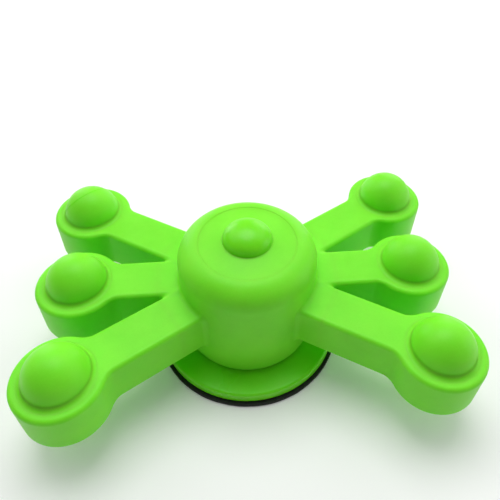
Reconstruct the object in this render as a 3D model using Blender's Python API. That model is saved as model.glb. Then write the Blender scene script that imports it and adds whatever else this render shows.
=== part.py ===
"""Stick-on vibration damper: six ball-tipped arms round a drum hub, on a flanged foot with an adhesive pad.

Metres, +Z up. The origin is the middle of the pad's underside, the face that is stuck down.
Three arms reach out along +X and three along -X. The hub rocks over the foot, each arm flexes up and down
at its root, and each tip ball turns in its socket.
"""
import math

import bmesh
import bpy
from mathutils import Matrix, Vector

MM = 0.001

# Clearances
FIT_GAP = 0.3 * MM        # between pieces that lie against or inside each other
CREASE_GAP = 0.55 * MM    # open crease under the drum, which leaves the hub room to rock

# Adhesive pad and foot
PAD_RADIUS = 15.0 * MM
PAD_THICKNESS = 0.6 * MM
FLANGE_RADIUS = 14.45 * MM
FLANGE_THICKNESS = 1.6 * MM
FLANGE_ROUND = 0.4 * MM
NECK_RADIUS = 6.0 * MM
NECK_HEIGHT = 2.0 * MM

# Hub drum
DRUM_RADIUS = 10.5 * MM
BARREL_HEIGHT = 3.95 * MM    # drum below the arms
CAP_HEIGHT = 6.95 * MM       # drum above the arms
CAP_ROUND = 3.4 * MM
BARREL_ROUND = 1.2 * MM

# Disc and nub in the top of the drum
RIM_WIDTH = 3.3 * MM         # from the drum's side in to the disc's edge
DISC_THICKNESS = 1.6 * MM
DISC_RECESS = 0.2 * MM       # the disc's face lies this far below the top of the drum
NUB_RADIUS = 3.6 * MM
NUB_HEIGHT = 3.0 * MM

# Arms and tips
TIP_ROW_X = 25.8 * MM        # each side's three tips stand in one straight row at this X
TIP_PITCH = 15.6 * MM        # from tip to tip along the row
ARM_WIDTH = 6.85 * MM
ARM_THICKNESS = 6.9 * MM
ARM_TOP_ROUND = 0.65 * MM
ARM_BOTTOM_ROUND = 0.45 * MM
BALL_RADIUS = 4.4 * MM
BALL_SINK = 0.1 * MM         # the ball's middle lies this far below the top of the arm
SOCKET_WALL = 1.6 * MM
TIP_FILLET = 1.0 * MM        # where an arm's side runs into its round tip

# Arm roots
KNUCKLE_MARGIN = 1.15 * MM   # how far the round root stands out past half the arm's thickness
HINGE_REACH = 0.7 * MM       # least distance from the notch between two arms out to the hinge axis
HINGE_STANDOFF = 2.5 * MM    # least distance from the drum's side out to the hinge axis

# Mesh fineness
DRUM_SEGMENTS = 56
TIP_SEGMENTS = 24
KNUCKLE_SEGMENTS = 40
BALL_SEGMENTS = 20
ROUND_STEPS = 2
CAP_STEPS = 6
FILLET_STEPS = 3

# Places and sizes that follow
FLANGE_BOTTOM = PAD_THICKNESS + FIT_GAP
FLANGE_TOP = FLANGE_BOTTOM + FLANGE_THICKNESS
BARREL_BOTTOM = FLANGE_TOP + CREASE_GAP
ARM_BOTTOM = BARREL_BOTTOM + BARREL_HEIGHT
ARM_TOP = ARM_BOTTOM + ARM_THICKNESS
DRUM_TOP = ARM_TOP + CAP_HEIGHT
ARM_MIDDLE = (ARM_BOTTOM + ARM_TOP) / 2
ROCK_AXIS_Z = FLANGE_TOP + CREASE_GAP / 2
DISC_RADIUS = DRUM_RADIUS - RIM_WIDTH
DISC_TOP = DRUM_TOP - DISC_RECESS
DISC_BOTTOM = DISC_TOP - DISC_THICKNESS
SOCKET_RADIUS = BALL_RADIUS + FIT_GAP
TIP_RADIUS = SOCKET_RADIUS + SOCKET_WALL
BALL_CENTRE_Z = ARM_TOP - BALL_SINK
OUTER_ANGLE = math.atan2(TIP_PITCH, TIP_ROW_X)
MIDDLE_REACH = TIP_ROW_X
OUTER_REACH = math.hypot(TIP_ROW_X, TIP_PITCH)

# The side faces of two neighbouring arms meet at the notch; the hinge axes lie beyond it.
NOTCH_DISTANCE = (ARM_WIDTH / 2) * (1 + math.cos(OUTER_ANGLE)) / math.sin(OUTER_ANGLE)
HINGE_RADIUS = max(NOTCH_DISTANCE + HINGE_REACH, DRUM_RADIUS + HINGE_STANDOFF)
KNUCKLE_RADIUS = ARM_THICKNESS / 2 + KNUCKLE_MARGIN
ROOT_HOLLOW_RADIUS = KNUCKLE_RADIUS + FIT_GAP

# Name, direction from the hub and reach of each arm
ARMS = (
    ("right_front", -OUTER_ANGLE, OUTER_REACH),
    ("right_middle", 0.0, MIDDLE_REACH),
    ("right_rear", OUTER_ANGLE, OUTER_REACH),
    ("left_rear", math.pi - OUTER_ANGLE, OUTER_REACH),
    ("left_middle", math.pi, MIDDLE_REACH),
    ("left_front", math.pi + OUTER_ANGLE, OUTER_REACH),
)


def clear_scene():
    for obj in list(bpy.data.objects):
        bpy.data.objects.remove(obj)


def make_material(name, colour, roughness):
    material = bpy.data.materials.new(name)
    material.use_nodes = True
    shader = material.node_tree.nodes["Principled BSDF"]
    shader.inputs["Base Color"].default_value = (*colour, 1.0)
    shader.inputs["Roughness"].default_value = roughness
    shader.inputs["Metallic"].default_value = 0.0
    return material


def object_from_bmesh(name, bm):
    bmesh.ops.recalc_face_normals(bm, faces=bm.faces)
    mesh = bpy.data.meshes.new(name)
    bm.to_mesh(mesh)
    bm.free()
    obj = bpy.data.objects.new(name, mesh)
    bpy.context.collection.objects.link(obj)
    return obj


def turned(name, profile, segments):
    """Turn a profile of (radius, z) points, which starts and ends on the Z axis, into a closed solid."""
    bm = bmesh.new()
    verts = [bm.verts.new((radius, 0.0, z)) for radius, z in profile]
    edges = [bm.edges.new(pair) for pair in zip(verts, verts[1:])]
    bmesh.ops.spin(bm, geom=verts + edges, cent=(0, 0, 0), axis=(0, 0, 1),
                   angle=math.tau, steps=segments)
    bmesh.ops.remove_doubles(bm, verts=bm.verts, dist=1e-6)
    return object_from_bmesh(name, bm)


def arc(centre_x, centre_y, radius, start, end, steps):
    """Points on an arc, both ends included."""
    angles = [start + (end - start) * i / steps for i in range(steps + 1)]
    return [(centre_x + radius * math.cos(a), centre_y + radius * math.sin(a)) for a in angles]


def combine(obj, cutter, operation):
    """Cut, join or trim obj with cutter, keep the result as obj's mesh and remove the cutter."""
    cutter.hide_render = True
    cutter.display_type = "WIRE"
    boolean = obj.modifiers.new("boolean", "BOOLEAN")
    boolean.object = cutter
    boolean.operation = operation
    boolean.solver = "EXACT"
    bpy.context.view_layer.update()
    evaluated = obj.evaluated_get(bpy.context.evaluated_depsgraph_get())
    result = bpy.data.meshes.new_from_object(evaluated)
    obj.modifiers.clear()
    obj.data = result
    bpy.data.objects.remove(cutter)


def finish_piece(obj, material, origin=(0.0, 0.0, 0.0), parent=None):
    """Shade the piece, put its origin on its joint's axis, and hang it on its parent."""
    obj.data.shade_smooth()
    obj.data.set_sharp_from_angle(angle=math.radians(35))
    obj.data.materials.clear()
    obj.data.materials.append(material)
    obj.data.transform(Matrix.Translation(-Vector(origin)))
    obj.location = origin
    hang_on(obj, parent)
    return obj


def hang_on(obj, parent):
    if parent is None:
        return
    bpy.context.view_layer.update()
    obj.parent = parent
    obj.matrix_parent_inverse = parent.matrix_world.inverted()


def make_pad(material, foot):
    profile = [(0.0, 0.0), (PAD_RADIUS, 0.0), (PAD_RADIUS, PAD_THICKNESS), (0.0, PAD_THICKNESS)]
    return finish_piece(turned("adhesive_pad", profile, DRUM_SEGMENTS), material, parent=foot)


def make_foot(material):
    round_centre = FLANGE_RADIUS - FLANGE_ROUND
    profile = [(0.0, FLANGE_BOTTOM), (FLANGE_RADIUS, FLANGE_BOTTOM)]
    profile += arc(round_centre, FLANGE_TOP - FLANGE_ROUND, FLANGE_ROUND, 0.0, math.pi / 2, ROUND_STEPS)
    profile += [(NECK_RADIUS, FLANGE_TOP)]
    profile += [(NECK_RADIUS, FLANGE_TOP + NECK_HEIGHT), (0.0, FLANGE_TOP + NECK_HEIGHT)]
    return finish_piece(turned("base_foot", profile, DRUM_SEGMENTS), material)


def drum_profile():
    """The drum from its neck recess, out under the barrel, up the side and down into the disc's pocket."""
    recess_radius = NECK_RADIUS + FIT_GAP
    recess_top = FLANGE_TOP + NECK_HEIGHT + CREASE_GAP
    pocket_radius = DISC_RADIUS + FIT_GAP
    pocket_floor = DISC_BOTTOM - FIT_GAP
    round_radius = DRUM_RADIUS - CAP_ROUND
    round_z = DRUM_TOP - CAP_ROUND
    lip_angle = math.acos(max(0.0, min(1.0, (pocket_radius - round_radius) / CAP_ROUND)))
    profile = [(0.0, recess_top), (recess_radius, recess_top), (recess_radius, BARREL_BOTTOM)]
    profile += arc(DRUM_RADIUS - BARREL_ROUND, BARREL_BOTTOM + BARREL_ROUND, BARREL_ROUND,
                   -math.pi / 2, 0.0, ROUND_STEPS + 1)
    profile += arc(round_radius, round_z, CAP_ROUND, 0.0, lip_angle, CAP_STEPS)
    profile += [(pocket_radius, pocket_floor), (0.0, pocket_floor)]
    return profile


def slab(name, outline, bottom, top):
    """Raise a plan outline into a slab with an arm's rounded rims.

    Each outline entry is a point and the direction in which it moves as the rim rounds inwards.
    """
    rings = []
    quarter = [math.pi / 2 * i / ROUND_STEPS for i in range(ROUND_STEPS + 1)]
    for angle in quarter:
        inset = ARM_BOTTOM_ROUND * (1 - math.sin(angle))
        rings.append((inset, bottom + ARM_BOTTOM_ROUND * (1 - math.cos(angle))))
    for angle in reversed(quarter):
        inset = ARM_TOP_ROUND * (1 - math.sin(angle))
        rings.append((inset, top - ARM_TOP_ROUND * (1 - math.cos(angle))))
    bm = bmesh.new()
    loops = []
    for inset, z in rings:
        loops.append([bm.verts.new((x + inset * dx, y + inset * dy, z)) for (x, y), (dx, dy) in outline])
    for lower, upper in zip(loops, loops[1:]):
        for i in range(len(lower)):
            j = (i + 1) % len(lower)
            bm.faces.new((lower[i], lower[j], upper[j], upper[i]))
    bm.faces.new(list(reversed(loops[0])))
    bm.faces.new(loops[-1])
    return object_from_bmesh(name, bm)


def side_extrusion(name, side_outline, half_width):
    """Extrude an (x, z) outline along Y, as wide on each side of the XZ plane."""
    bm = bmesh.new()
    verts = [bm.verts.new((x, -half_width, z)) for x, z in side_outline]
    face = bm.faces.new(verts)
    extruded = bmesh.ops.extrude_face_region(bm, geom=[face])
    moved = [item for item in extruded["geom"] if isinstance(item, bmesh.types.BMVert)]
    bmesh.ops.translate(bm, verts=moved, vec=(0.0, 2 * half_width, 0.0))
    return object_from_bmesh(name, bm)


def knuckle_outline(radius, steps):
    """A full circle in the XZ plane round the hinge axis."""
    return [(radius * math.cos(math.tau * i / steps), radius * math.sin(math.tau * i / steps))
            for i in range(steps)]


def stub_shape(name):
    """Arm root on the hub, in the arm's frame: X out along the arm, origin on the hinge axis."""
    half = ARM_WIDTH / 2
    inner = DRUM_RADIUS / 2 - HINGE_RADIUS
    outer = KNUCKLE_RADIUS + FIT_GAP
    near_side = [((inner, -half), (0, 1)), ((outer, -half), (0, 1))]
    outline = near_side + [((outer, half), (0, -1)), ((inner, half), (0, -1))]
    stub = slab(name, outline, -ARM_THICKNESS / 2, ARM_THICKNESS / 2)
    reach = math.acos(min(1.0, 0.5 * ARM_THICKNESS / KNUCKLE_RADIUS))
    nose = arc(0.0, 0.0, KNUCKLE_RADIUS, reach - math.pi / 2, math.pi / 2 - reach, KNUCKLE_SEGMENTS // 4)
    bottom, top = nose[0], nose[-1]
    back = inner - FIT_GAP
    side = [(back, bottom[1] - FIT_GAP), (bottom[0], bottom[1] - FIT_GAP)] + nose
    side += [(top[0], top[1] + FIT_GAP), (back, top[1] + FIT_GAP)]
    combine(stub, side_extrusion("stub_trim", side, ARM_WIDTH), "INTERSECT")
    return stub


def hinge_place(direction):
    return Vector((HINGE_RADIUS * math.cos(direction), HINGE_RADIUS * math.sin(direction), ARM_MIDDLE))


def make_hub(material, foot):
    hub = turned("hub", drum_profile(), DRUM_SEGMENTS)
    pattern = stub_shape("stub_pattern")
    for name, direction, _reach in ARMS:
        stub = bpy.data.objects.new("stub_" + name, pattern.data.copy())
        bpy.context.collection.objects.link(stub)
        stub.data.transform(Matrix.Translation(hinge_place(direction)) @ Matrix.Rotation(direction, 4, "Z"))
        combine(hub, stub, "UNION")
    bpy.data.objects.remove(pattern)
    return finish_piece(hub, material, (0.0, 0.0, ROCK_AXIS_Z), foot)


def make_disc(material, hub):
    hole = NUB_RADIUS + FIT_GAP
    bm = bmesh.new()
    corners = [(hole, DISC_BOTTOM), (DISC_RADIUS, DISC_BOTTOM), (DISC_RADIUS, DISC_TOP), (hole, DISC_TOP)]
    verts = [bm.verts.new((radius, 0.0, z)) for radius, z in corners]
    edges = [bm.edges.new((verts[i], verts[(i + 1) % 4])) for i in range(4)]
    bmesh.ops.spin(bm, geom=verts + edges, cent=(0, 0, 0), axis=(0, 0, 1),
                   angle=math.tau, steps=DRUM_SEGMENTS)
    bmesh.ops.remove_doubles(bm, verts=bm.verts, dist=1e-6)
    return finish_piece(object_from_bmesh("top_disc", bm), material, parent=hub)


def make_nub(material, hub):
    dome = [(NUB_RADIUS * math.cos(a), DISC_TOP + NUB_HEIGHT * math.sin(a))
            for a in (math.pi / 2 * i / CAP_STEPS for i in range(CAP_STEPS))]
    profile = [(0.0, DISC_BOTTOM), (NUB_RADIUS, DISC_BOTTOM)] + dome + [(0.0, DISC_TOP + NUB_HEIGHT)]
    return finish_piece(turned("centre_nub", profile, TIP_SEGMENTS), material, parent=hub)


def arm_outline(reach):
    """Plan outline of an arm with its round tip, in the arm's frame, anticlockwise from its root."""
    half = ARM_WIDTH / 2
    tip_x = reach - HINGE_RADIUS
    fillet_x = tip_x - math.sqrt((TIP_RADIUS + TIP_FILLET) ** 2 - (half + TIP_FILLET) ** 2)
    lean = math.atan2(half + TIP_FILLET, tip_x - fillet_x)
    outline = [((0.0, -half), (0, 1))]
    for x, y in arc(fillet_x, -half - TIP_FILLET, TIP_FILLET, math.pi / 2, lean, FILLET_STEPS):
        outward = Vector((x - fillet_x, y + half + TIP_FILLET)).normalized()
        outline.append(((x, y), tuple(outward)))
    sweep = arc(tip_x, 0.0, TIP_RADIUS, lean - math.pi, math.pi - lean, TIP_SEGMENTS)
    for x, y in sweep[1:-1]:
        inward = Vector((tip_x - x, -y)).normalized()
        outline.append(((x, y), tuple(inward)))
    lower_side = outline[:FILLET_STEPS + 2]
    outline += [((x, -y), (dx, -dy)) for (x, y), (dx, dy) in reversed(lower_side)]
    return outline


def arm_mesh(name, reach):
    """An arm in its own frame: origin on the hinge axis, X out along the arm."""
    arm = slab(name, arm_outline(reach), -ARM_THICKNESS / 2, ARM_THICKNESS / 2)
    hollow = side_extrusion("root_hollow", knuckle_outline(ROOT_HOLLOW_RADIUS, KNUCKLE_SEGMENTS), ARM_WIDTH)
    combine(arm, hollow, "DIFFERENCE")
    bm = bmesh.new()
    bmesh.ops.create_uvsphere(bm, u_segments=TIP_SEGMENTS, v_segments=TIP_SEGMENTS // 2, radius=SOCKET_RADIUS)
    bmesh.ops.translate(bm, verts=bm.verts, vec=(reach - HINGE_RADIUS, 0.0, BALL_CENTRE_Z - ARM_MIDDLE))
    combine(arm, object_from_bmesh("socket_cutter", bm), "DIFFERENCE")
    mesh = arm.data
    bpy.data.objects.remove(arm)
    return mesh


def make_arms(material, hub):
    meshes = {
        MIDDLE_REACH: arm_mesh("middle_arm", MIDDLE_REACH),
        OUTER_REACH: arm_mesh("outer_arm", OUTER_REACH),
    }
    arms = {}
    for name, direction, reach in ARMS:
        arm = bpy.data.objects.new("arm_" + name, meshes[reach])
        bpy.context.collection.objects.link(arm)
        finish_piece(arm, material)
        arm.location = hinge_place(direction)
        arm.rotation_euler = (0.0, 0.0, direction)
        hang_on(arm, hub)
        arms[name] = arm
    return arms


def make_balls(material, arms):
    bm = bmesh.new()
    bmesh.ops.create_uvsphere(bm, u_segments=BALL_SEGMENTS, v_segments=BALL_SEGMENTS // 2, radius=BALL_RADIUS)
    pattern = object_from_bmesh("ball_pattern", bm)
    for name, direction, reach in ARMS:
        ball = bpy.data.objects.new("ball_" + name, pattern.data)
        bpy.context.collection.objects.link(ball)
        finish_piece(ball, material)
        ball.location = (reach * math.cos(direction), reach * math.sin(direction), BALL_CENTRE_Z)
        hang_on(ball, arms[name])
    bpy.data.objects.remove(pattern)


def main():
    clear_scene()
    satin_green = make_material("satin_green_elastomer", (0.22, 0.72, 0.06), 0.45)
    glossy_green = make_material("glossy_green_elastomer", (0.16, 0.62, 0.04), 0.25)
    black_tape = make_material("black_adhesive_tape", (0.012, 0.012, 0.01), 0.85)
    foot = make_foot(glossy_green)
    make_pad(black_tape, foot)
    hub = make_hub(satin_green, foot)
    make_disc(satin_green, hub)
    make_nub(glossy_green, hub)
    arms = make_arms(satin_green, hub)
    make_balls(satin_green, arms)


main()
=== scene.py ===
import math

import bmesh
import bpy
import numpy as np
from mathutils import Matrix, Vector


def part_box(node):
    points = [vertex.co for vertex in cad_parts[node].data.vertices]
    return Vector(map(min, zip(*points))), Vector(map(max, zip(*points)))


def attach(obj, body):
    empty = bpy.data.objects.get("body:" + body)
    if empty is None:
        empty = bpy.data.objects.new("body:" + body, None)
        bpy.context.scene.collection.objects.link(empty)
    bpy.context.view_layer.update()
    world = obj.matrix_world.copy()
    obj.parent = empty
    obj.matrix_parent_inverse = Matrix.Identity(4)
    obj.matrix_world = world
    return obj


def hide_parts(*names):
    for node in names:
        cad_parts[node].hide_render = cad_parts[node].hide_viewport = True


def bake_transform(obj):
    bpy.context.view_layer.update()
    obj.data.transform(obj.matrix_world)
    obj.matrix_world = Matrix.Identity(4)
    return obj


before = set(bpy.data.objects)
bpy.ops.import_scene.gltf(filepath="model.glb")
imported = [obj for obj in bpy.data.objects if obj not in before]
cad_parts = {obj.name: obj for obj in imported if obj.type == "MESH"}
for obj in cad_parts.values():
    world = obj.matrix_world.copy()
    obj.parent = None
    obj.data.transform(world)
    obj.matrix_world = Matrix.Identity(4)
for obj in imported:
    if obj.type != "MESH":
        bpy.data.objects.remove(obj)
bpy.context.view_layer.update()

MM = 0.001

# ---------------------------------------------------------------- sizes and places, from the parts in model.glb
PAD_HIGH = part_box("adhesive_pad")[1]
FOOT_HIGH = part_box("base_foot")[1]
HUB_LOW, HUB_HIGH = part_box("hub")
DISC_LOW, DISC_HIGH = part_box("top_disc")
NUB_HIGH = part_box("centre_nub")[1]
ARM_LOW, ARM_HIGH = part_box("arm_right_middle")

PAD_RADIUS = PAD_HIGH.x
FLANGE_RADIUS = FOOT_HIGH.x
DISC_RADIUS = DISC_HIGH.x + 0.05 * MM
DRUM_TOP = HUB_HIGH.z
DRUM_BOTTOM = HUB_LOW.z
ARM_TOP = ARM_HIGH.z
ARM_BOTTOM = ARM_LOW.z
ARM_MIDDLE = (ARM_TOP + ARM_BOTTOM) / 2
TIP_RADIUS = ARM_HIGH.y

# Hub
DRUM_RADIUS = 10.5 * MM
CAP_ROUND = 3.4 * MM
BARREL_ROUND = 1.2 * MM
SHOULDER_RADIUS = DRUM_RADIUS - CAP_ROUND
SHOULDER_Z = DRUM_TOP - CAP_ROUND
SKIRT_TOP = 5.2 * MM          # below this the barrel is a soft skirt, a ring of its own
SKIRT_GAP = 0.22 * MM         # between the skirt and the flange
SKIRT_WALL = 2.5 * MM
SKIRT_EDGE = 0.40 * MM

# Disc and nub in the cap
DISC_SINK = 0.03 * MM
DISC_CROWN = 1.00 * MM        # how far the disc's middle, under the nub, stands above its edge
POCKET_GAP = 0.005 * MM
POCKET_LIP = 0.04 * MM
NUB_SWELL = 0.08 * MM
NUB_FLARE = 0.12 * MM
NUB_SUNK = 0.9 * MM

# Foot
NECK_RADIUS = 6.0 * MM
NECK_HEIGHT = 2.0 * MM
NECK_RECESS = 6.3 * MM
NECK_FILLET = 0.2 * MM
FLANGE_EDGE = 0.42 * MM
FLANGE_TOP = FOOT_HIGH.z - NECK_HEIGHT

# Arms
ARM_HALF = 3.425 * MM
TOP_EDGE = 0.65 * MM          # roundness of the arms' top edges
BOTTOM_EDGE = 0.45 * MM
ROOT_FILLET = 0.7 * MM        # where the drum's side meets the arms
NOTCH_FILLET = 0.7 * MM       # where two arms meet
TIP_FILLET = 0.9 * MM
SEAM = 13.7 * MM              # along an arm, where the hub's moulding ends and the arm's mesh begins

# Balls
BALL_RADIUS = 4.5 * MM
SOCKET_RADIUS = BALL_RADIUS + 0.03 * MM
SOCKET_LIP = 0.12 * MM
COLLAR_GAP = 0.02 * MM
COLLAR_FILLET = 0.7 * MM
COLLAR_SUNK = 0.5 * MM
# Mould seam: the balls that have one, each with a line square to the seam's plane
MOULD_SEAMS = {"left_rear": Vector((-0.533, 0.672, 0.515))}
SEAM_OFFSET = 0.44            # how far along that line the seam lies, as a share of the radius
SEAM_STEP = 0.06 * MM
SEAM_GROOVE = ((-0.022, 0.0), (-0.008, 0.10), (0.008, 0.13), (0.024, 0.06))    # radians across, mm deep
SEAM_CLEAR = 0.06             # radians each side of the seam that hold no other ring

# Mesh fineness
NET_STEP = 0.2 * MM
ARM_STEP = 0.25 * MM
BAND_LOW = ARM_BOTTOM - ROOT_FILLET - 0.15 * MM     # the hub is netted between these heights
BAND_HIGH = ARM_TOP + ROOT_FILLET + 0.15 * MM

ARM_NAMES = ("right_front", "right_middle", "right_rear", "left_rear", "left_middle", "left_front")


def centre_of(node):
    low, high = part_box(node)
    return (low + high) / 2


TIPS = {name: centre_of("ball_" + name) for name in ARM_NAMES}


# ---------------------------------------------------------------- implicit shapes
def box_distance(across, up, half_across, half_up, rounding):
    """Distance to a rounded rectangle; rounding may be an array."""
    a = np.abs(across) - half_across + rounding
    b = np.abs(up) - half_up + rounding
    return np.minimum(np.maximum(a, b), 0) + np.hypot(np.maximum(a, 0), np.maximum(b, 0)) - rounding


def round_union(a, b, radius):
    """Union of two shapes with a circular fillet between them."""
    inside = np.hypot(np.maximum(radius - a, 0), np.maximum(radius - b, 0))
    return np.maximum(radius, np.minimum(a, b)) - inside


def soft_union(a, b, width):
    blend = np.maximum(width - np.abs(a - b), 0) / width
    return np.minimum(a, b) - blend * blend * width / 4


def drum_distance(p):
    middle = (DRUM_TOP + DRUM_BOTTOM) / 2
    half = (DRUM_TOP - DRUM_BOTTOM) / 2
    z = p[:, 2] - middle
    rounding = np.where(z > 0, CAP_ROUND, BARREL_ROUND)
    return box_distance(np.hypot(p[:, 0], p[:, 1]), z, DRUM_RADIUS, half, rounding)


def bar_distance(along, across, up):
    """A straight arm without its tip, starting at the drum's middle."""
    height = up - ARM_MIDDLE
    edge = np.where(height > 0, TOP_EDGE, BOTTOM_EDGE)
    d = box_distance(across, height, ARM_HALF, (ARM_TOP - ARM_BOTTOM) / 2, edge)
    return np.maximum(d, -along)


def hub_distance(p):
    arms = None
    for name in ARM_NAMES:
        reach = math.hypot(TIPS[name].x, TIPS[name].y)
        ux, uy = TIPS[name].x / reach, TIPS[name].y / reach
        along = p[:, 0] * ux + p[:, 1] * uy
        across = p[:, 1] * ux - p[:, 0] * uy
        d = bar_distance(along, across, p[:, 2])
        arms = d if arms is None else soft_union(arms, d, NOTCH_FILLET)
    return round_union(arms, drum_distance(p), ROOT_FILLET)


def arm_distance_for(reach):
    def distance(p):
        """An arm in its own frame: X out along the arm from the drum's middle."""
        along, across, up = p[:, 0], p[:, 1], p[:, 2]
        # plan distance to the bar and the round tip, joined with a fillet
        bar = np.maximum(np.abs(across) - ARM_HALF, along - reach)
        tip = np.hypot(along - reach, across) - TIP_RADIUS
        plan = round_union(bar, tip, TIP_FILLET)
        height = np.abs(up - ARM_MIDDLE) - (ARM_TOP - ARM_BOTTOM) / 2
        edge = np.where(up > ARM_MIDDLE, TOP_EDGE, BOTTOM_EDGE)
        a = plan + edge
        b = height + edge
        body = np.minimum(np.maximum(a, b), 0) + np.hypot(np.maximum(a, 0), np.maximum(b, 0)) - edge
        ball_z = TIPS["right_middle"].z
        hole = np.sqrt((along - reach) ** 2 + across ** 2 + (up - ball_z) ** 2) - SOCKET_RADIUS
        return -round_union(-body, hole, SOCKET_LIP)
    return distance


# ---------------------------------------------------------------- surface nets
def gradient(distance, p, step=0.01 * MM):
    g = np.empty_like(p)
    for axis in range(3):
        shift = np.zeros(3)
        shift[axis] = step
        g[:, axis] = (distance(p + shift) - distance(p - shift)) / (2 * step)
    return g


def project(distance, p, rounds=4):
    """Move points onto the surface where the distance is nothing."""
    for _ in range(rounds):
        g = gradient(distance, p)
        p = p - g * (distance(p) / np.maximum((g * g).sum(1), 1e-9))[:, None]
    return p


def surface_net(distance, low, step, counts):
    """Quads of the surface where distance is 0, over a grid that starts at low."""
    nx, ny, nz = counts
    axes = [low[i] + step * np.arange(counts[i]) for i in range(3)]
    grid = np.stack(np.meshgrid(*axes, indexing="ij"), -1).reshape(-1, 3)
    field = distance(grid).reshape(nx, ny, nz)
    inside = field < 0
    total = np.zeros((nx - 1, ny - 1, nz - 1, 3))
    crossings = np.zeros((nx - 1, ny - 1, nz - 1))
    corner = np.array([(i, j, k) for i in (0, 1) for j in (0, 1) for k in (0, 1)])
    for a in range(8):
        for b in range(a + 1, 8):
            if abs(corner[a] - corner[b]).sum() != 1:
                continue
            fa = field[tuple(slice(c, n - 1 + c) for c, n in zip(corner[a], counts))]
            fb = field[tuple(slice(c, n - 1 + c) for c, n in zip(corner[b], counts))]
            crossed = (fa < 0) != (fb < 0)
            share = np.where(crossed, fa / np.where(crossed, fa - fb, 1), 0)
            point = corner[a] + share[..., None] * (corner[b] - corner[a])
            total += np.where(crossed[..., None], point, 0)
            crossings += crossed
    cells = np.argwhere(crossings > 0)
    number = -np.ones(crossings.shape, int)
    number[tuple(cells.T)] = np.arange(len(cells))
    share = total[tuple(cells.T)] / crossings[tuple(cells.T)][:, None]
    points = low + step * (cells + share)
    quads = []
    for axis in range(3):
        one, two = (axis + 1) % 3, (axis + 2) % 3
        start = [slice(None)] * 3
        end = [slice(None)] * 3
        start[axis], end[axis] = slice(0, -1), slice(1, None)
        for other in (one, two):
            start[other] = end[other] = slice(1, -1)
        a, b = inside[tuple(start)], inside[tuple(end)]
        for outward in (True, False):
            found = np.argwhere((a & ~b) if outward else (~a & b))
            found[:, one] += 1
            found[:, two] += 1
            around = []
            for d1, d2 in ((-1, -1), (0, -1), (0, 0), (-1, 0)):
                cell = found.copy()
                cell[:, one] += d1
                cell[:, two] += d2
                around.append(number[tuple(cell.T)])
            quad = np.stack(around, 1)
            quads.append(quad if outward else quad[:, ::-1])
    return points, np.concatenate(quads)


def net_bmesh(points, quads):
    bm = bmesh.new()
    verts = [bm.verts.new(p) for p in points]
    for quad in quads:
        bm.faces.new([verts[i] for i in quad])
    loose = [v for v in bm.verts if not v.link_faces]
    bmesh.ops.delete(bm, geom=loose, context="VERTS")
    return bm


def make_object(name, bm, material, sharp=40):
    mesh = bpy.data.meshes.new(name)
    bm.to_mesh(mesh)
    bm.free()
    mesh.shade_smooth()
    mesh.set_sharp_from_angle(angle=math.radians(sharp))
    mesh.materials.append(material)
    obj = bpy.data.objects.new(name, mesh)
    bpy.context.scene.collection.objects.link(obj)
    return obj


def exact_normals(obj, distance, low, high):
    """Shade the faces between two heights with the shape's own normals."""
    mesh = obj.data
    co = np.empty(len(mesh.vertices) * 3)
    mesh.vertices.foreach_get("co", co)
    co = co.reshape(-1, 3)
    g = gradient(distance, co)
    g /= np.maximum(np.linalg.norm(g, axis=1), 1e-9)[:, None]
    index = np.empty(len(mesh.loops), int)
    mesh.loops.foreach_get("vertex_index", index)
    normals = g[index]
    skip = (co[index, 2] < low) | (co[index, 2] > high) | (np.abs(distance(co))[index] > 0.01 * MM)
    normals[skip] = 0
    mesh.normals_split_custom_set([tuple(n) for n in normals])


def arc(cx, cy, radius, start, end, steps):
    angles = [start + (end - start) * i / steps for i in range(steps + 1)]
    return [(cx + radius * math.cos(a), cy + radius * math.sin(a)) for a in angles]


def lathe(profile, segments=160, wobble=None):
    """A closed solid turned from (radius, z) points that start and end on the axis."""
    bm = bmesh.new()
    rings = []
    for radius, z in profile:
        if radius < 1e-7:
            rings.append([bm.verts.new((0, 0, z))])
            continue
        ring = []
        for i in range(segments):
            a = math.tau * i / segments
            r = radius + (wobble(a) if wobble else 0)
            ring.append(bm.verts.new((r * math.cos(a), r * math.sin(a), z)))
        rings.append(ring)
    for lower, upper in zip(rings, rings[1:]):
        for i in range(segments):
            j = (i + 1) % segments
            corners = [lower[i % len(lower)], lower[j % len(lower)],
                       upper[j % len(upper)], upper[i % len(upper)]]
            unique = list(dict.fromkeys(corners))
            if len(unique) > 2:
                bm.faces.new(unique)
    bmesh.ops.recalc_face_normals(bm, faces=bm.faces)
    return bm


def lathe_ring(profile, segments=200):
    """A closed ring turned from (radius, z) points that go once round its section."""
    bm = bmesh.new()
    rings = []
    for radius, z in profile:
        angles = [math.tau * i / segments for i in range(segments)]
        rings.append([bm.verts.new((radius * math.cos(a), radius * math.sin(a), z)) for a in angles])
    for lower, upper in zip(rings, rings[1:] + rings[:1]):
        for i in range(segments):
            j = (i + 1) % segments
            bm.faces.new((lower[i], lower[j], upper[j], upper[i]))
    bmesh.ops.recalc_face_normals(bm, faces=bm.faces)
    return bm


# ---------------------------------------------------------------- materials
def add(tree, kind, **settings):
    node = tree.nodes.new(kind)
    for key, value in settings.items():
        if key in node.inputs:
            node.inputs[key].default_value = value
        else:
            setattr(node, key, value)
    return node


def set_input(node, values):
    for key, value in values.items():
        node.inputs[key].default_value = value


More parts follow.
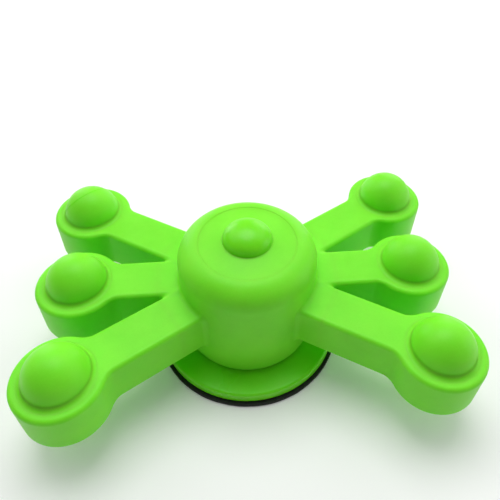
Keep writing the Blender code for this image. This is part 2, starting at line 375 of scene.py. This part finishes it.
def elastomer(name, deep, light, roughness, grain, sheen, specular=0.35, waves=0.12):
    """Moulded silicone: two close greens in soft clouds, a fine matt grain and soft moulding waves.

    Light also spreads a little way under the surface, green the furthest, so creases stay soft
    and deep green.
    """
    material = bpy.data.materials.new(name)
    material.use_nodes = True
    tree = material.node_tree
    shader = tree.nodes["Principled BSDF"]
    link = tree.links.new
    place = add(tree, "ShaderNodeTexCoord")

    clouds = add(tree, "ShaderNodeTexNoise")
    set_input(clouds, {"Scale": 160.0, "Detail": 3.0, "Roughness": 0.55})
    link(place.outputs["Object"], clouds.inputs["Vector"])
    speckle = add(tree, "ShaderNodeTexNoise")
    set_input(speckle, {"Scale": 5200.0, "Detail": 2.0, "Roughness": 0.6})
    link(place.outputs["Object"], speckle.inputs["Vector"])

    mixed = add(tree, "ShaderNodeMath", operation="MULTIPLY_ADD")
    mixed.inputs[1].default_value = 0.35
    link(speckle.outputs["Fac"], mixed.inputs[0])
    link(clouds.outputs["Fac"], mixed.inputs[2])
    ramp = add(tree, "ShaderNodeValToRGB")
    ramp.color_ramp.elements[0].position = 0.45
    ramp.color_ramp.elements[0].color = (*deep, 1)
    ramp.color_ramp.elements[1].position = 0.85
    ramp.color_ramp.elements[1].color = (*light, 1)
    link(mixed.outputs[0], ramp.inputs["Fac"])
    link(ramp.outputs["Color"], shader.inputs["Base Color"])

    gloss = add(tree, "ShaderNodeMapRange")
    set_input(gloss, {
        "From Min": 0.3, "From Max": 0.7, "To Min": roughness - 0.05, "To Max": roughness + 0.05})
    link(clouds.outputs["Fac"], gloss.inputs["Value"])
    link(gloss.outputs[0], shader.inputs["Roughness"])

    fine = add(tree, "ShaderNodeBump")
    set_input(fine, {"Strength": grain, "Distance": 0.00002})
    link(speckle.outputs["Fac"], fine.inputs["Height"])
    wave = add(tree, "ShaderNodeTexNoise")
    set_input(wave, {"Scale": 420.0, "Detail": 1.0})
    link(place.outputs["Object"], wave.inputs["Vector"])
    soft = add(tree, "ShaderNodeBump")
    set_input(soft, {"Strength": waves, "Distance": 0.00004})
    link(wave.outputs["Fac"], soft.inputs["Height"])
    link(fine.outputs["Normal"], soft.inputs["Normal"])
    link(soft.outputs["Normal"], shader.inputs["Normal"])

    set_input(shader, {
        "Specular IOR Level": specular,
        "IOR": 1.42,
        "Sheen Weight": sheen,
        "Sheen Roughness": 0.5,
        "Sheen Tint": (0.65, 1.0, 0.3, 1.0),
        "Subsurface Weight": 0.5,
        "Subsurface Radius": (0.30, 1.0, 0.12),
        "Subsurface Scale": 0.6 * MM,
    })
    return material


def black_tape(name):
    """Closed-cell black tape: tiny pits and dusty flecks."""
    material = bpy.data.materials.new(name)
    material.use_nodes = True
    tree = material.node_tree
    shader = tree.nodes["Principled BSDF"]
    link = tree.links.new
    place = add(tree, "ShaderNodeTexCoord")
    cells = add(tree, "ShaderNodeTexVoronoi")
    set_input(cells, {"Scale": 4200.0})
    link(place.outputs["Object"], cells.inputs["Vector"])
    dust = add(tree, "ShaderNodeTexNoise")
    set_input(dust, {"Scale": 900.0, "Detail": 4.0, "Roughness": 0.7})
    link(place.outputs["Object"], dust.inputs["Vector"])
    ramp = add(tree, "ShaderNodeValToRGB")
    ramp.color_ramp.elements[0].position = 0.42
    ramp.color_ramp.elements[0].color = (0.006, 0.0065, 0.006, 1)
    ramp.color_ramp.elements[1].position = 0.75
    ramp.color_ramp.elements[1].color = (0.030, 0.032, 0.030, 1)
    link(dust.outputs["Fac"], ramp.inputs["Fac"])
    link(ramp.outputs["Color"], shader.inputs["Base Color"])
    gloss = add(tree, "ShaderNodeMapRange")
    set_input(gloss, {"From Min": 0.3, "From Max": 0.7, "To Min": 0.62, "To Max": 0.85})
    link(dust.outputs["Fac"], gloss.inputs["Value"])
    link(gloss.outputs[0], shader.inputs["Roughness"])
    bump = add(tree, "ShaderNodeBump")
    set_input(bump, {"Strength": 0.6, "Distance": 0.00005})
    link(cells.outputs["Distance"], bump.inputs["Height"])
    link(bump.outputs["Normal"], shader.inputs["Normal"])
    set_input(shader, {"Specular IOR Level": 0.35})
    return material


SATIN = elastomer("satin_green_silicone", deep=(0.185, 0.78, 0.020), light=(0.22, 0.84, 0.031),
                  roughness=0.42, grain=0.20, sheen=0.08, specular=0.26)
GLOSSY = elastomer("glossy_green_silicone", deep=(0.16, 0.76, 0.008), light=(0.195, 0.82, 0.014),
                   roughness=0.31, grain=0.03, sheen=0.04, waves=0.02)
BLACK = black_tape("black_adhesive_tape")


# ---------------------------------------------------------------- hub: turned cap and barrel, netted middle
def edge_ring(bm, z):
    """The open rim at this height, in order round the axis."""
    near = [v for v in bm.verts if abs(v.co.z - z) < 0.03 * MM]
    ring = [v for v in near if any(e.is_boundary for e in v.link_edges)]
    return sorted(ring, key=lambda v: math.atan2(v.co.y, v.co.x))


def grow_rings(bm, ring, profile):
    """Carry an open rim on through a profile of (radius, z), closing it on the axis."""
    angles = [math.atan2(v.co.y, v.co.x) for v in ring]
    count = len(ring)
    for radius, z in profile:
        if radius < 1e-7:
            middle = bm.verts.new((0, 0, z))
            for i in range(count):
                bm.faces.new((ring[i], ring[(i + 1) % count], middle))
            return
        fresh = [bm.verts.new((radius * math.cos(a), radius * math.sin(a), z)) for a in angles]
        for i in range(count):
            j = (i + 1) % count
            bm.faces.new((ring[i], ring[j], fresh[j], fresh[i]))
        ring = fresh


def cap_height(radius):
    """Height of the cap's top surface: flat, then its rounded shoulder."""
    out = max(0.0, radius - SHOULDER_RADIUS)
    return SHOULDER_Z + math.sqrt(CAP_ROUND ** 2 - out ** 2)


def disc_height(radius):
    """The disc follows the cap, a little sunk at its edge and softly raised towards the nub."""
    share = max(0.0, 1 - radius / DISC_RADIUS)
    return cap_height(radius) - DISC_SINK + DISC_CROWN * share * share * (3 - 2 * share)


def cap_profile():
    pocket = DISC_RADIUS + POCKET_GAP
    points = [(DRUM_RADIUS, BAND_HIGH + 0.4 * MM), (DRUM_RADIUS, SHOULDER_Z - 0.3 * MM)]
    stop = math.acos((pocket + POCKET_LIP - SHOULDER_RADIUS) / CAP_ROUND)
    points += arc(SHOULDER_RADIUS, SHOULDER_Z, CAP_ROUND, 0.0, stop, 28)
    end_r, end_z = points[-1]
    points += arc(end_r, end_z - POCKET_LIP, POCKET_LIP, math.pi / 2, math.pi, 5)[1:]
    floor = DISC_LOW.z - 0.05 * MM
    points += [(pocket, floor), (pocket - 0.3 * MM, floor), (0.0, floor)]
    return points


def barrel_profile():
    return [(DRUM_RADIUS, BAND_LOW - 0.3 * MM), (DRUM_RADIUS, SKIRT_TOP),
            (NECK_RECESS, SKIRT_TOP), (0.0, SKIRT_TOP)]


def make_hub():
    reach = SEAM + 0.8 * MM
    half_y = reach * 0.52 + ARM_HALF + 0.4 * MM
    half_y = max(half_y, DRUM_RADIUS + 0.5 * MM)
    nx = 2 * math.ceil((reach + 0.5 * MM) / NET_STEP) + 1
    ny = 2 * math.ceil(half_y / NET_STEP) + 1
    nz = round((BAND_HIGH - BAND_LOW) / NET_STEP) + 2
    low = np.array([-(nx - 1) / 2 * NET_STEP, -(ny - 1) / 2 * NET_STEP, BAND_LOW - NET_STEP / 2])
    high_z = BAND_LOW + (nz - 2) * NET_STEP

    def band(p):
        return np.maximum(hub_distance(p), np.hypot(p[:, 0], p[:, 1]) - reach)

    points, quads = surface_net(band, low, NET_STEP, (nx, ny, nz))
    near = np.abs(hub_distance(points)) < 0.15 * MM
    points[near] = project(hub_distance, points[near])
    bm = net_bmesh(points, quads)
    for ring_z, profile in ((high_z, cap_profile()), (BAND_LOW, barrel_profile())):
        grow_rings(bm, edge_ring(bm, ring_z), profile)
    for name in ARM_NAMES:
        out = Vector((TIPS[name].x, TIPS[name].y, 0)).normalized()
        everything = bm.verts[:] + bm.edges[:] + bm.faces[:]
        bmesh.ops.bisect_plane(bm, geom=everything, dist=1e-7, plane_co=out * SEAM, plane_no=out,
                               clear_outer=True)
    open_edges = [e for e in bm.edges if e.is_boundary]
    bmesh.ops.edgeloop_fill(bm, edges=open_edges)
    bmesh.ops.recalc_face_normals(bm, faces=bm.faces)
    hub = make_object("hub_moulding", bm, SATIN, sharp=50)
    return hub


hub = make_hub()
exact_normals(hub, hub_distance, BAND_LOW - 0.1 * MM, BAND_HIGH + 0.1 * MM)
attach(hub, "hub")
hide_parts("hub")


# ---------------------------------------------------------------- arms
def arm_mesh(reach):
    distance = arm_distance_for(reach)
    nx = math.ceil((reach + TIP_RADIUS + 0.5 * MM - SEAM) / ARM_STEP) + 2
    ny = 2 * math.ceil((TIP_RADIUS + 0.5 * MM) / ARM_STEP) + 2
    nz = math.ceil((ARM_TOP - ARM_BOTTOM + 1.0 * MM) / ARM_STEP) + 2
    low = np.array([
        SEAM - ARM_STEP / 2, -(ny - 1) / 2 * ARM_STEP, ARM_MIDDLE - (nz - 1) / 2 * ARM_STEP])
    points, quads = surface_net(distance, low, ARM_STEP, (nx, ny, nz))
    points = project(distance, points)
    points[:, 0] = np.maximum(points[:, 0], SEAM)
    bm = net_bmesh(points, quads)
    rim = [e for e in bm.edges if e.is_boundary]
    bmesh.ops.edgeloop_fill(bm, edges=rim)
    bmesh.ops.recalc_face_normals(bm, faces=bm.faces)
    return bm, distance


for name in ARM_NAMES:
    tip = TIPS[name]
    reach = math.hypot(tip.x, tip.y)
    direction = math.atan2(tip.y, tip.x)
    bm, distance = arm_mesh(reach)
    arm = make_object("arm_moulding_" + name, bm, SATIN, sharp=60)
    exact_normals(arm, distance, 0.0, 1.0)
    arm.rotation_euler = (0, 0, direction)
    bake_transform(arm)
    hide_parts("arm_" + name)


# ---------------------------------------------------------------- balls
def ball_profile(seam):
    """Half a circle from pole to pole; a seam adds a fine groove and a small step down beyond it."""
    steps = 28
    profile = []
    split = math.asin(SEAM_OFFSET)
    for i in range(steps + 1):
        angle = -math.pi / 2 + math.pi * i / steps
        if seam and abs(angle - split) < SEAM_CLEAR:
            continue
        radius = BALL_RADIUS - (SEAM_STEP if seam and angle > split else 0)
        profile.append((max(0.0, radius * math.cos(angle)), radius * math.sin(angle), angle))
    if seam:
        for shift, depth in SEAM_GROOVE:
            radius = BALL_RADIUS - depth * MM
            angle = split + shift
            profile.append((radius * math.cos(angle), radius * math.sin(angle), angle))
    profile.sort(key=lambda point: point[2])
    profile = [(radius, z) for radius, z, _ in profile]
    profile[0] = (0.0, profile[0][1])
    profile[-1] = (0.0, profile[-1][1])
    return profile


def make_ball(name):
    seam = MOULD_SEAMS.get(name)
    bm = lathe(ball_profile(seam), 96)
    if seam:
        bm.transform(seam.to_track_quat("Z", "Y").to_matrix().to_4x4())
    ball = make_object("ball_moulding_" + name, bm, SATIN)
    ball.location = TIPS[name]
    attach(ball, "ball_" + name)
    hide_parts("ball_" + name)


def make_collar(name):
    """The soft hollow between an arm's top and its ball, turned round the ball's own axis."""
    tip = TIPS[name]
    reach = BALL_RADIUS + COLLAR_GAP
    drop = ARM_TOP + COLLAR_FILLET - tip.z
    centre = math.sqrt((reach + COLLAR_FILLET) ** 2 - drop ** 2)
    touch = math.atan2(-drop, -centre)
    if touch < 0:
        touch += math.tau
    hollow = arc(centre, COLLAR_FILLET, COLLAR_FILLET, touch, 1.5 * math.pi, 10)
    wall = []
    for i in range(5):
        z = -COLLAR_SUNK + (hollow[0][1] + COLLAR_SUNK) * i / 5
        wall.append((math.sqrt(reach ** 2 - (tip.z - ARM_TOP - z) ** 2), z))
    profile = wall + hollow + [(centre, -COLLAR_SUNK)]
    collar = make_object("ball_collar_" + name, lathe_ring(profile, 96), SATIN, sharp=60)
    collar.location = (tip.x, tip.y, ARM_TOP)
    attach(collar, "arm_" + name)


for name in ARM_NAMES:
    make_ball(name)
    make_collar(name)


# ---------------------------------------------------------------- disc and nub
def make_disc():
    edge = 0.02 * MM
    bottom = DISC_LOW.z
    top = cap_height(DISC_RADIUS) - DISC_SINK
    profile = [(0.0, bottom), (DISC_RADIUS - edge, bottom), (DISC_RADIUS, bottom + edge)]
    profile += arc(DISC_RADIUS - edge, top - edge, edge, 0.0, math.pi / 2, 3)
    for i in range(1, 24):
        radius = (DISC_RADIUS - edge) * (1 - i / 24)
        profile.append((radius, disc_height(radius)))
    profile.append((0.0, disc_height(0.0)))
    disc = make_object("cap_disc", lathe(profile, 200), SATIN)
    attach(disc, "hub")
    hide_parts("top_disc")


def make_nub():
    radius = NUB_HIGH.x + NUB_SWELL
    base = disc_height(radius)
    outer = radius + NUB_FLARE
    profile = [(0.0, base - NUB_SUNK), (outer, base - NUB_SUNK), (outer, base - 0.02 * MM)]
    for i in range(5):
        a = math.pi / 2 * i / 4
        profile.append((radius + NUB_FLARE * (1 - math.sin(a)), base + NUB_FLARE * (1 - math.cos(a))))
    height = NUB_HIGH.z - base - NUB_FLARE
    for i in range(1, 33):
        a = math.pi / 2 * i / 32
        profile.append((radius * math.cos(a), base + NUB_FLARE + height * math.sin(a)))
    profile[-1] = (0.0, NUB_HIGH.z)
    nub = make_object("centre_nub_moulding", lathe(profile, 96), GLOSSY)
    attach(nub, "hub")
    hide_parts("centre_nub")


make_disc()
make_nub()


# ---------------------------------------------------------------- foot and pad
def make_foot():
    edge = FLANGE_EDGE
    bottom = PAD_HIGH.z + 0.01 * MM
    profile = [(0.0, bottom), (FLANGE_RADIUS - 0.2 * MM, bottom), (FLANGE_RADIUS, bottom + 0.2 * MM)]
    profile += arc(FLANGE_RADIUS - edge, FLANGE_TOP - edge, edge, 0.0, math.pi / 2, 6)
    profile += [(NECK_RADIUS + 1.0 * MM, FLANGE_TOP)]
    profile += arc(NECK_RADIUS + NECK_FILLET, FLANGE_TOP + NECK_FILLET, NECK_FILLET,
                   -math.pi / 2, -math.pi, 3)
    profile += [(NECK_RADIUS, FOOT_HIGH.z), (0.0, FOOT_HIGH.z)]
    foot = make_object("foot_moulding", lathe(profile, 200), GLOSSY)
    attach(foot, "foot")
    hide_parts("base_foot")


def make_pad():
    """The tape's cut edge wanders a little all the way round."""
    def wobble(a):
        waves = 1 + math.sin(7 * a + 1.3) * 0.5 + math.sin(19 * a) * 0.3 + math.sin(43 * a + 2) * 0.2
        return -0.035 * MM * waves
    top = PAD_HIGH.z
    inset = PAD_RADIUS - 0.05 * MM
    half = [(0.0, 0.0), (PAD_RADIUS * 0.6, 0.0), (inset, 0.0), (PAD_RADIUS, 0.06 * MM)]
    profile = half + [(PAD_RADIUS, top * 0.5)] + [(radius, top - z) for radius, z in reversed(half)]
    pad = make_object("adhesive_tape_disc", lathe(profile, 220, wobble), BLACK)
    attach(pad, "foot")
    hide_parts("adhesive_pad")


def make_skirt():
    """The barrel's foot: a turned ring from just above the flange up to where the hub's barrel ends."""
    bottom = FLANGE_TOP + SKIRT_GAP
    edge = SKIRT_EDGE
    inner = DRUM_RADIUS - SKIRT_WALL
    rows = 12
    wall = [bottom + edge + (SKIRT_TOP - bottom - edge) * i / rows for i in range(rows + 1)]
    profile = [(inner, z) for z in reversed(wall)]
    profile += [(inner, bottom), (DRUM_RADIUS - 2 * edge, bottom)]
    profile += arc(DRUM_RADIUS - edge, bottom + edge, edge, -math.pi / 2, 0.0, 6)
    profile += [(DRUM_RADIUS, z) for z in wall[1:]]
    skirt = make_object("barrel_skirt", lathe_ring(profile), SATIN, sharp=60)
    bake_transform(skirt)


make_foot()
make_pad()
make_skirt()


# ---------------------------------------------------------------- camera, floor and light
CAMERA_PLACE = Vector((-0.2228, -3.4806, 5.1086)) * (15.0 * MM)
CAMERA_YAW = 0.1074           # radians, to the right of straight ahead along +Y
CAMERA_PITCH = -0.744
CAMERA_ROLL = 0.024
CAMERA_LENS = 37.53
CAMERA_SHIFT = (-0.0278, -0.0943)

FLOOR_GLOW = 0.06             # a light table's faint glow, which keeps the floor pale round the object
WORLD_LIGHT = 0.18

BROAD, SMALL = 0.30, 0.26     # softbox sizes
SOFTBOXES = (                 # azimuth 0 is the camera's side and 90 is +X; elevation; power; size
    ("overhead", 0, 90, 0.10, BROAD),
    ("overhead_back", 180, 72, 1.07, BROAD),
    ("back_right", 120, 50, 0.32, BROAD),
    ("back_left", 240, 50, 0.35, BROAD),
    ("side_right", 90, 18, 0.33, SMALL),
    ("low_back_right", 150, 18, 0.33, SMALL),
    ("low_back_left", 210, 18, 0.43, SMALL),
)
SOFTBOX_DISTANCE = 0.45


def make_camera():
    place, yaw, pitch, roll = CAMERA_PLACE, CAMERA_YAW, CAMERA_PITCH, CAMERA_ROLL
    level_share = math.cos(pitch)
    ahead = Vector((math.sin(yaw) * level_share, math.cos(yaw) * level_share, math.sin(pitch)))
    level = Vector((math.cos(yaw), -math.sin(yaw), 0))
    upright = level.cross(ahead)
    right = math.cos(roll) * level + math.sin(roll) * upright
    up = -math.sin(roll) * level + math.cos(roll) * upright
    camera = bpy.data.objects.new("camera", bpy.data.cameras.new("camera"))
    bpy.context.scene.collection.objects.link(camera)
    camera.matrix_world = Matrix((
        (right.x, up.x, -ahead.x, place.x),
        (right.y, up.y, -ahead.y, place.y),
        (right.z, up.z, -ahead.z, place.z),
        (0, 0, 0, 1)))
    camera.data.sensor_width = 36
    camera.data.lens = CAMERA_LENS
    camera.data.clip_start = 0.005
    camera.data.shift_x, camera.data.shift_y = CAMERA_SHIFT
    bpy.context.scene.camera = camera


def make_floor():
    bm = bmesh.new()
    bmesh.ops.create_grid(bm, x_segments=8, y_segments=8, size=1.5)
    material = bpy.data.materials.new("pale_floor")
    material.use_nodes = True
    tree = material.node_tree
    shader = tree.nodes["Principled BSDF"]
    noise = add(tree, "ShaderNodeTexNoise")
    set_input(noise, {"Scale": 40.0})
    ramp = add(tree, "ShaderNodeValToRGB")
    ramp.color_ramp.elements[0].color = (0.90, 0.90, 0.90, 1)
    ramp.color_ramp.elements[1].color = (0.93, 0.93, 0.93, 1)
    tree.links.new(noise.outputs["Fac"], ramp.inputs["Fac"])
    tree.links.new(ramp.outputs["Color"], shader.inputs["Base Color"])
    set_input(shader, {
        "Roughness": 0.9, "Specular IOR Level": 0.1,
        "Emission Color": (1.0, 1.0, 1.0, 1.0), "Emission Strength": FLOOR_GLOW})
    floor = make_object("floor", bm, material)


def softbox(name, azimuth, elevation, power, size):
    """A round soft light aimed at the object."""
    data = bpy.data.lights.new(name, "AREA")
    data.shape = "DISK"
    data.size = size
    data.energy = power
    light = bpy.data.objects.new(name, data)
    bpy.context.scene.collection.objects.link(light)
    a, e = math.radians(azimuth), math.radians(elevation)
    toward = Vector((math.sin(a) * math.cos(e), -math.cos(a) * math.cos(e), math.sin(e)))
    light.location = toward * SOFTBOX_DISTANCE
    light.rotation_euler = (-toward).to_track_quat("-Z", "Y").to_euler()


def make_lights():
    for row in SOFTBOXES:
        softbox(*row)
    world = bpy.data.worlds.new("studio")
    world.use_nodes = True
    background = world.node_tree.nodes["Background"]
    background.inputs["Color"].default_value = (1, 1, 1, 1)
    background.inputs["Strength"].default_value = WORLD_LIGHT
    bpy.context.scene.world = world


make_camera()
make_floor()
make_lights()
bpy.context.scene.view_settings.view_transform = "Standard"
